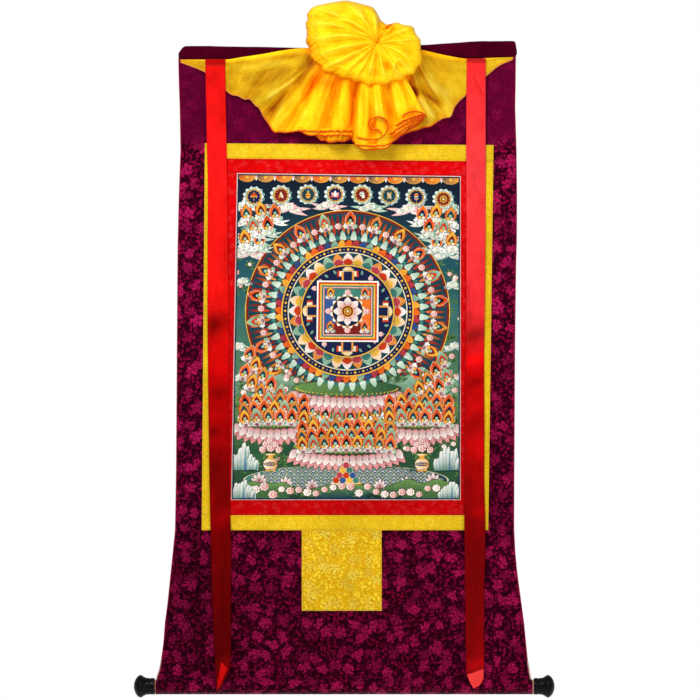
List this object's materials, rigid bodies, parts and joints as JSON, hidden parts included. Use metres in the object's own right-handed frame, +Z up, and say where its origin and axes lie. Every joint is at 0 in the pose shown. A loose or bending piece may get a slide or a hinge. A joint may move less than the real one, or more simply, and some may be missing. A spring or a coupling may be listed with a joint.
{
  "type": "thangka hanging scroll with bottom dowel",
  "caption": "Hanging scroll: figured brocade round a painted cloth, with a tied-up silk cover, long ribbons, a stiff heading and a knobbed dowel in its hem.",
  "frame": {"origin": "middle of the heading's top edge, at its back, where the scroll hangs against the wall", "axes": "+Z up, along the length of the scroll; +Y into the wall, so the front faces -Y; +X to the right as seen from the front"},
  "size_m": [0.8362, 0.102, 1.3832],
  "materials": {
    "maroon_brocade": "figured brocade, dark maroon ground with magenta flowers and scrolls, silk sheen",
    "heading_cloth": "the same maroon brocade wrapped tight round the top roll",
    "yellow_brocade": "golden yellow damask, tone on tone",
    "red_brocade": "bright red damask, tone on tone",
    "painted_canvas": "sized cotton with matt mineral colours and gold lines",
    "ribbon_satin": "red satin ribbon",
    "cover_silk": "thin yellow silk, slightly sheer, overlocked orange hem",
    "dowel_wood": "plain turned softwood",
    "black_lacquer": "turned wood under black lacquer"
  },
  "bodies": {
    "root": {"brocade_panel": "maroon_brocade", "heading_roll": "heading_cloth", "yellow_top": "yellow_brocade", "yellow_bottom": "yellow_brocade", "yellow_left": "yellow_brocade", "yellow_right": "yellow_brocade", "red_top": "red_brocade", "red_bottom": "red_brocade", "red_left": "red_brocade", "red_right": "red_brocade", "canvas": "painted_canvas", "door_patch": "yellow_brocade", "ribbon_left": "ribbon_satin", "ribbon_right": "ribbon_satin", "curtain": "cover_silk", "dowel": "dowel_wood", "knob_left": "black_lacquer", "knob_right": "black_lacquer"}
  },
  "joints": []
}
